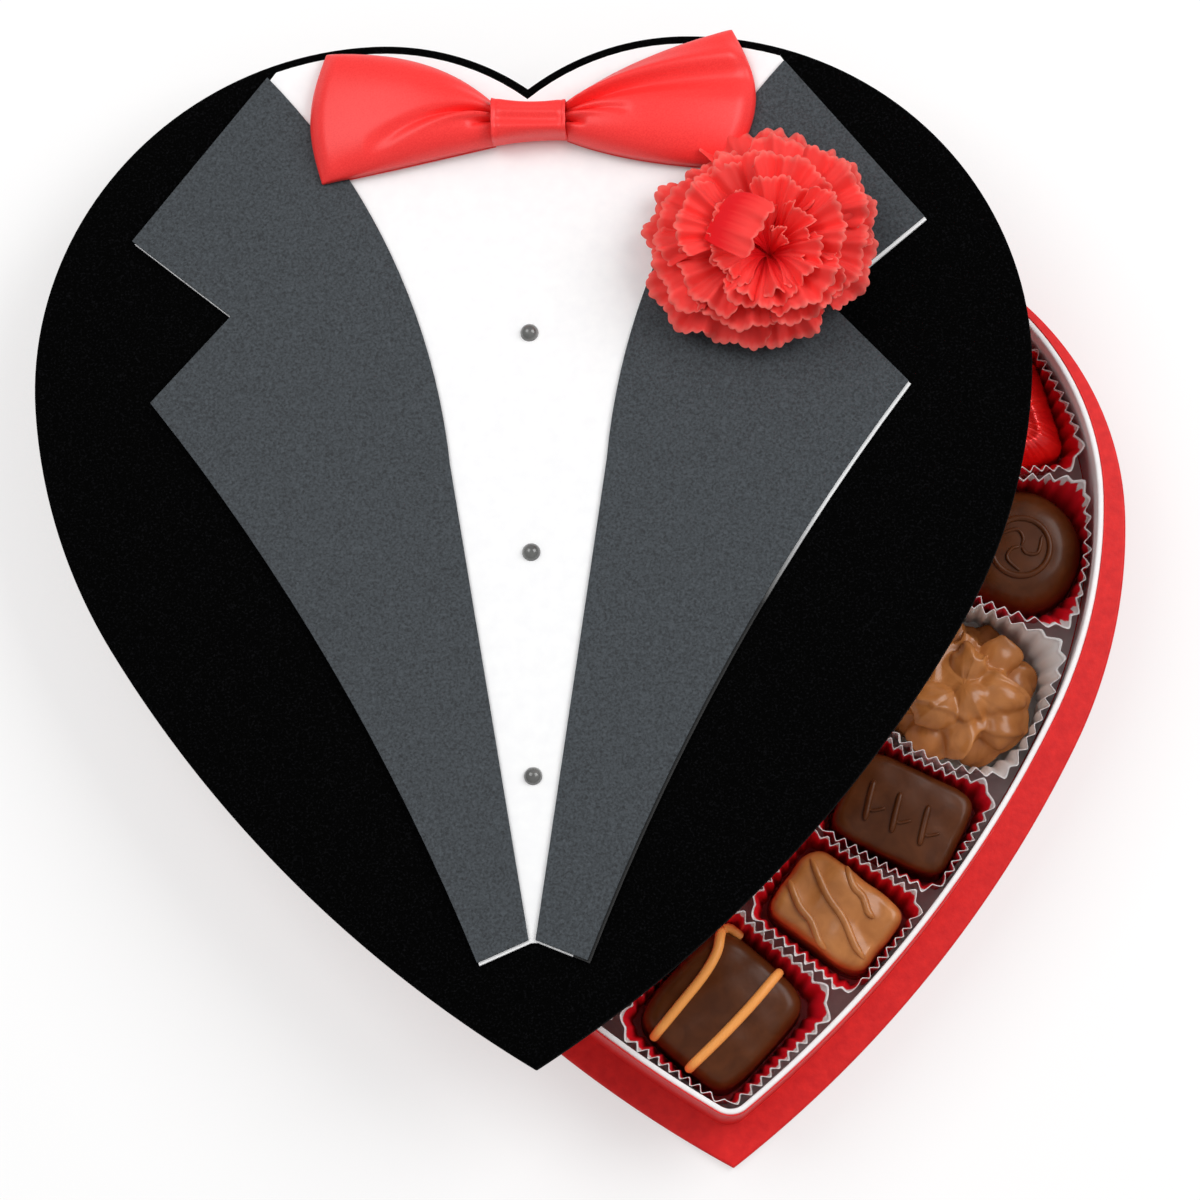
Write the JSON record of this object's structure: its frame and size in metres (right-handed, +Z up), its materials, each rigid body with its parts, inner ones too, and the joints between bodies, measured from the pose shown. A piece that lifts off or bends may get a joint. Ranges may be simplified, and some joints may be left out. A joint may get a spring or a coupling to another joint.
{
  "type": "heart-shaped chocolate box",
  "caption": "Heart-shaped chocolate box: flanged red tray of chocolates in fluted cups, and a black flocked lid dressed as a dinner jacket with bow and carnation, leaning on the tray's rim.",
  "frame": {"origin": "middle of the tray's heart on its underside, where it stands", "axes": "+Z up, +Y towards the heart's notch, -Y towards its tip"},
  "size_m": [0.2524, 0.2664, 0.0645],
  "materials": {
    "red_paper": "smooth satin printed paper",
    "white_board": "matt white box board",
    "white_lining": "matt white paper",
    "black_flock": "short-pile velvet flock",
    "grey_board": "bare box board",
    "white_card": "smooth white card",
    "lapel_card": "charcoal card with an embossed felt grain",
    "stud_resin": "polished half-pearl resin",
    "bow_satin": "coral red satin ribbon",
    "petal_cloth": "thin coral cloth with frayed pale edges",
    "calyx_plastic": "moulded green plastic",
    "red_cup_paper": "fluted red paper with white cut edges",
    "white_cup_paper": "fluted white paper",
    "dark_chocolate": "satin moulded dark chocolate",
    "milk_chocolate": "satin milk chocolate",
    "red_foil": "creased red confectionery foil"
  },
  "bodies": {
    "tray": {"base_board": "red_paper", "cream_round_1": "dark_chocolate", "cream_round_2": "dark_chocolate", "cream_round_3": "dark_chocolate", "cream_round_4": "dark_chocolate", "cream_round_5": "dark_chocolate", "cream_round_6": "dark_chocolate", "dashed_block_1": "dark_chocolate", "dashed_block_2": "dark_chocolate", "dashed_block_3": "dark_chocolate", "foil_block_1": "red_foil", "foil_block_2": "red_foil", "neck_wall": "white_board", "neck_wrap": "red_paper", "nut_cluster_1": "milk_chocolate", "nut_cluster_2": "milk_chocolate", "nut_cluster_3": "milk_chocolate", "nut_cluster_4": "milk_chocolate", "nut_cluster_5": "milk_chocolate", "red_bar_cups": "red_cup_paper", "red_round_cups": "red_cup_paper", "ridged_bar_1": "milk_chocolate", "ridged_bar_2": "milk_chocolate", "striped_block_1": "dark_chocolate", "striped_block_2": "dark_chocolate", "tray_lining": "white_lining", "white_round_cups": "white_cup_paper"},
    "lid": {"bow_knot": "bow_satin", "bow_left_wing": "bow_satin", "bow_right_wing": "bow_satin", "collar_wrap": "red_paper", "flock_cover": "black_flock", "flower_calyx": "calyx_plastic", "flower_petals_1": "petal_cloth", "flower_petals_2": "petal_cloth", "flower_petals_3": "petal_cloth", "flower_petals_4": "petal_cloth", "flower_petals_5": "petal_cloth", "left_lapel": "lapel_card", "lid_board": "grey_board", "lid_collar": "white_board", "lid_lining": "white_lining", "right_lapel": "lapel_card", "shirt_card": "white_card", "stud_1": "stud_resin", "stud_2": "stud_resin", "stud_3": "stud_resin"}
  },
  "joints": [
    {"name": "lid_lift", "type": "slide", "parent": "tray", "child": "lid", "axis": [0, 0, 1], "range_m": [0, 0.1]}
  ]
}
